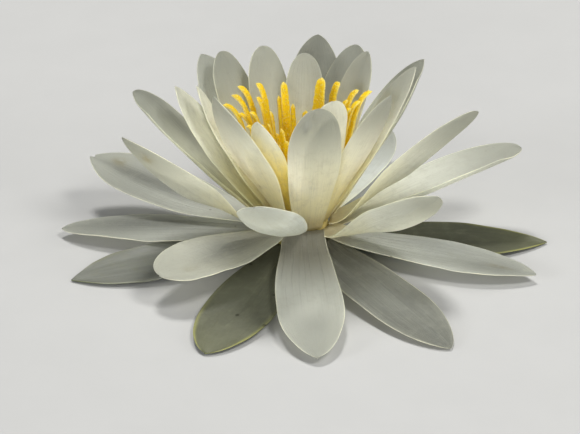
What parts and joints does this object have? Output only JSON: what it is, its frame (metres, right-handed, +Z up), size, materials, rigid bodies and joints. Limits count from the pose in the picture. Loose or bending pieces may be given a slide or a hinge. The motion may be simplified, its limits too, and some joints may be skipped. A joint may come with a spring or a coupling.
{
  "type": "water lily flower",
  "caption": "Open white water lily bloom with layered pointed petals, spread olive sepals and a tuft of yellow stamens, picked off flush and resting level.",
  "frame": {"origin": "middle of the small flat scar under the receptacle, which the bloom rests on", "axes": "+Z up along the bloom's axis, +X along its longest way across, +Y across it away from the side it was pictured from"},
  "size_m": [0.1302, 0.1232, 0.0517],
  "materials": {
    "petal": "satin, slightly translucent, with fine lengthwise veins",
    "sepal": "satin, olive to grey-green with yellow-green margins",
    "receptacle": "satin, yellow-green",
    "stamen": "matt, finely granular",
    "stigma": "matt, rayed"
  },
  "bodies": {
    "root": {"sepal_1": "sepal", "sepal_2": "sepal", "sepal_3": "sepal", "sepal_4": "sepal", "petal_1": "petal", "petal_2": "petal", "petal_3": "petal", "petal_4": "petal", "petal_5": "petal", "petal_6": "petal", "petal_7": "petal", "petal_8": "petal", "petal_9": "petal", "petal_10": "petal", "petal_11": "petal", "petal_12": "petal", "petal_13": "petal", "petal_14": "petal", "petal_15": "petal", "petal_16": "petal", "petal_17": "petal", "petal_18": "petal", "petal_19": "petal", "petal_20": "petal", "petal_21": "petal", "petal_22": "petal", "petal_23": "petal", "petal_24": "petal", "petal_25": "petal", "petal_26": "petal", "petal_27": "petal", "petal_28": "petal", "petal_29": "petal", "petal_30": "petal", "petal_31": "petal", "receptacle": "receptacle", "stamens": "stamen", "stigma_disc": "stigma"}
  },
  "joints": []
}
